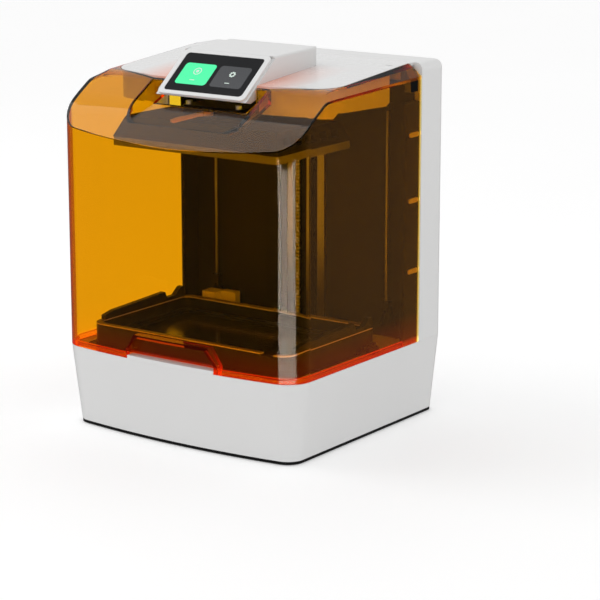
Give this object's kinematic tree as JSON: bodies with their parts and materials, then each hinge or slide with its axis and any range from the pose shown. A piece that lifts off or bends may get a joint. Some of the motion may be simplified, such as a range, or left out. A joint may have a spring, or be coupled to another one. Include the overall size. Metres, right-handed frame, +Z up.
{
  "type": "resin printer",
  "caption": "Desktop masked-light resin printer: bowed white base, rear column with lifting platform, resin vat, fixed roof with tilted touch screen, and a translucent hood that swings up.",
  "frame": {"origin": "middle of the footprint, on the surface the printer stands on", "axes": "+Z up, front faces -Y, +X to the right seen from the front"},
  "size_m": [0.306, 0.284, 0.402],
  "materials": {
    "white_plastic": "satin white moulded plastic",
    "hood_acrylic": "translucent orange acrylic",
    "black_plastic": "black moulded plastic",
    "dark_panel": "dark grey moulded plastic",
    "rubber": "black rubber",
    "zinc_screw": "zinc-plated steel",
    "rail_steel": "ground rail steel",
    "black_aluminium": "black anodised aluminium",
    "plain_aluminium": "bead-blasted aluminium",
    "plate_aluminium": "laser-etched aluminium",
    "sheet_steel": "folded sheet steel",
    "brass": "turned brass",
    "screen_glass": "black display glass",
    "display": "lit display",
    "lens": "clear moulded lens",
    "film": "clear release film",
    "circuit_board": "green circuit board",
    "tab_plastic": "light moulded plastic",
    "lever_paint": "coated metal lever"
  },
  "bodies": {
    "chassis": {"base_shell": "white_plastic", "bottom_tray": "black_plastic", "rubber_feet": "rubber", "housing_screws": "zinc_screw", "deck_plate": "black_plastic", "screen_mount": "black_aluminium", "masking_screen": "screen_glass", "lens_array": "lens", "light_box": "sheet_steel", "led_board": "circuit_board", "heat_sink": "plain_aluminium", "lamp_fan_frame": "black_plastic", "power_supply": "sheet_steel", "main_board": "circuit_board", "power_inlet": "black_plastic", "rocker_housing": "black_plastic", "usb_port": "rail_steel", "vat_frame": "black_plastic", "release_film": "film", "film_ring": "black_aluminium", "film_ring_screws": "zinc_screw", "column_shell": "white_plastic", "rear_panel": "white_plastic", "exhaust_fan_frame": "black_plastic", "back_panels": "dark_panel", "hood_guides": "dark_panel", "guide_tabs": "tab_plastic", "z_profile": "black_aluminium", "linear_rails": "rail_steel", "z_motor": "black_aluminium", "bearing_block": "black_aluminium", "feed_pipes": "rail_steel", "pipe_brackets": "black_plastic", "feed_block": "tab_plastic", "roof_shell": "white_plastic", "roof_plugs": "rubber", "roof_skirts": "white_plastic", "head_shell": "white_plastic", "screen_bezel": "white_plastic", "touch_glass": "screen_glass", "display_panel": "display", "hinge_brackets": "rail_steel"},
    "hood": {"hood": "hood_acrylic", "hood_ears": "rail_steel"},
    "lift": {"rail_blocks": "rail_steel", "lead_nut": "brass", "carriage": "black_aluminium", "platform_arm": "black_aluminium", "platform_mount": "black_aluminium", "platform_body": "dark_panel", "build_plate": "plate_aluminium", "level_screws": "zinc_screw", "lever_pin": "rail_steel"},
    "lever": {"quick_lever": "lever_paint"},
    "screw": {"lead_screw": "rail_steel"},
    "latch_left": {"vat_latch_left": "black_plastic"},
    "latch_right": {"vat_latch_right": "black_plastic"},
    "rocker": {"rocker_paddle": "black_plastic"},
    "lamp_rotor": {"lamp_fan_rotor": "black_plastic"},
    "exhaust_rotor": {"exhaust_fan_rotor": "black_plastic"}
  },
  "joints": [
    {"name": "hood_hinge", "type": "hinge", "parent": "chassis", "child": "hood", "pos_m": [0, 0.082, 0.374], "axis": [-1, 0, 0], "range_deg": [0, 85]},
    {"name": "platform_lift", "type": "slide", "parent": "chassis", "child": "lift", "axis": [0, 0, 1], "range_m": [-0.205, 0]},
    {"name": "screw_turn", "type": "hinge", "parent": "chassis", "child": "screw", "pos_m": [0, 0.093, 0.2], "axis": [0, 0, 1], "range_deg": [-9226, 1]},
    {"name": "lever_clamp", "type": "hinge", "parent": "lift", "child": "lever", "pos_m": [0, -0.072, 0.339], "axis": [0, 0, -1], "range_deg": [0, 50]},
    {"name": "latch_left_turn", "type": "hinge", "parent": "chassis", "child": "latch_left", "pos_m": [-0.1385, 0.022, 0.09], "axis": [0, 0, 1], "range_deg": [0, 90]},
    {"name": "latch_right_turn", "type": "hinge", "parent": "chassis", "child": "latch_right", "pos_m": [0.1385, 0.022, 0.09], "axis": [0, 0, 1], "range_deg": [-90, 0]},
    {"name": "power_rocker", "type": "hinge", "parent": "chassis", "child": "rocker", "pos_m": [0.076, 0.1355, 0.044], "axis": [1, 0, 0], "range_deg": [0, 16]},
    {"name": "lamp_fan_spin", "type": "hinge", "parent": "chassis", "child": "lamp_rotor", "pos_m": [0.115, -0.0335, 0.034], "axis": [1, 0, 0], "continuous": true},
    {"name": "exhaust_fan_spin", "type": "hinge", "parent": "chassis", "child": "exhaust_rotor", "pos_m": [0.08, 0.13, 0.3], "axis": [0, 1, 0], "continuous": true}
  ],
  "couplings": [
    {"joint": "screw_turn", "follows": "platform_lift", "rad_per_m": 785.4}
  ]
}
